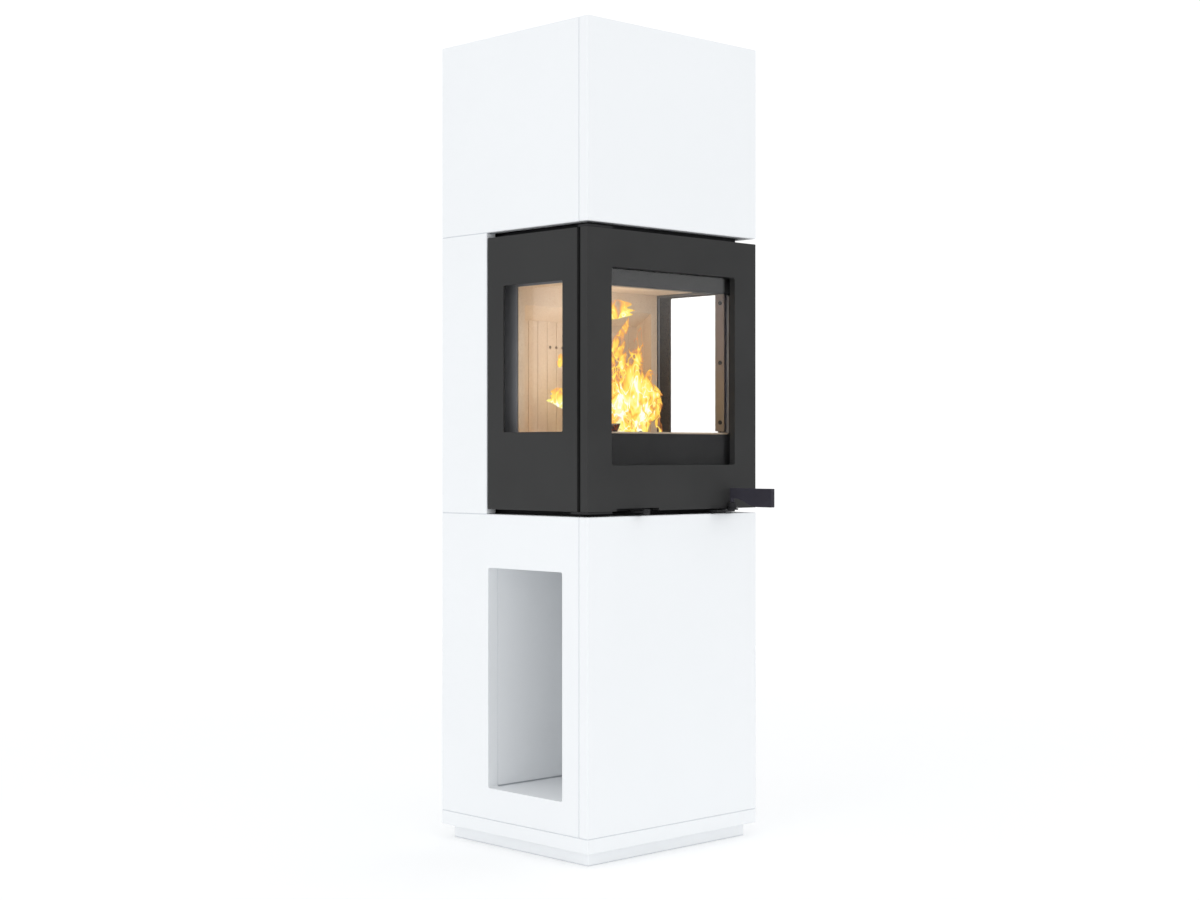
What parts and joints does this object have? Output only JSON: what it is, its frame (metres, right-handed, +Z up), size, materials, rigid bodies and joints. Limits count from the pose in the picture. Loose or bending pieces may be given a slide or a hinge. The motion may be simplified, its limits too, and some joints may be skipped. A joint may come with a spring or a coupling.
{
  "type": "modular fireplace",
  "caption": "Tall slim wood stove with glass on three sides in a casing of stacked white panels: log niche below, hinged front door with a lever handle, air slide, flue socket on top.",
  "frame": {"origin": "on the floor, under the middle of the casing", "axes": "+Z up, -Y towards the door's side, +X to the right of someone who faces the door"},
  "size_m": [0.5, 0.583, 1.695],
  "materials": {
    "white_panel": "cast panels with a fine matt white render",
    "outer_steel": "matt dark grey stove paint",
    "handle_steel": "matt dark grey stove paint",
    "body_steel": "matt black stove paint",
    "inner_steel": "matt zinc-grey coat",
    "bare_steel": "plain bright steel",
    "lining": "pressed pale tan insulating board",
    "grate_iron": "as cast",
    "fire_glass": "clear heat-proof glass",
    "rope_seal": "braided glass-fibre rope"
  },
  "bodies": {
    "stove": {"plinth": "white_panel", "base_slab": "white_panel", "lower_front_panel": "white_panel", "lower_left_panel": "white_panel", "lower_right_panel": "white_panel", "lower_back_panel": "white_panel", "lower_deck": "white_panel", "niche_floor": "white_panel", "niche_ceiling": "white_panel", "niche_side_walls": "white_panel", "niche_end_wall": "white_panel", "column_left_panel": "white_panel", "column_right_panel": "white_panel", "column_back_panel": "white_panel", "top_front_panel": "white_panel", "top_left_panel": "white_panel", "top_right_panel": "white_panel", "top_back_panel": "white_panel", "top_lid": "white_panel", "left_casing": "outer_steel", "right_casing": "outer_steel", "base_frame": "body_steel", "bottom_plate": "body_steel", "back_plate": "body_steel", "rear_air_duct": "body_steel", "top_plate": "body_steel", "front_frame": "body_steel", "casing_spacers": "body_steel", "hearth_plate": "body_steel", "ash_pan": "body_steel", "flue_collar": "body_steel", "flue_pipe": "body_steel", "hinge_brackets": "body_steel", "latch_keeper": "body_steel", "air_slide_guides": "body_steel", "top_heat_shield": "body_steel", "retainer_screws": "body_steel", "left_plate": "inner_steel", "right_plate": "inner_steel", "panel_dowels": "bare_steel", "glass_retainers": "bare_steel", "lining_back": "lining", "lining_upper_block": "lining", "lining_returns": "lining", "lining_floor": "lining", "baffle_plate": "lining", "grate": "grate_iron", "side_glass": "fire_glass"},
    "door": {"door_frame": "outer_steel", "door_liner": "body_steel", "door_glass": "fire_glass", "door_glass_clips": "body_steel", "door_clip_screws": "bare_steel", "door_seal": "rope_seal", "hinge_bushes": "bare_steel", "handle_bracket": "body_steel"},
    "handle": {"handle_lever": "handle_steel", "latch_arm": "body_steel"},
    "air_control": {"air_slide": "body_steel"}
  },
  "joints": [
    {"name": "door_hinge", "type": "hinge", "parent": "stove", "child": "door", "pos_m": [-0.2385, -0.2175, 0.9915], "axis": [0, 0, -1], "range_deg": [0, 105]},
    {"name": "handle_fold", "type": "hinge", "parent": "door", "child": "handle", "pos_m": [0.163, -0.238, 0.73], "axis": [0, 0, 1], "range_deg": [-90, 0]},
    {"name": "air_slide_travel", "type": "slide", "parent": "stove", "child": "air_control", "axis": [1, 0, 0], "range_m": [-0.045, 0.045]}
  ]
}
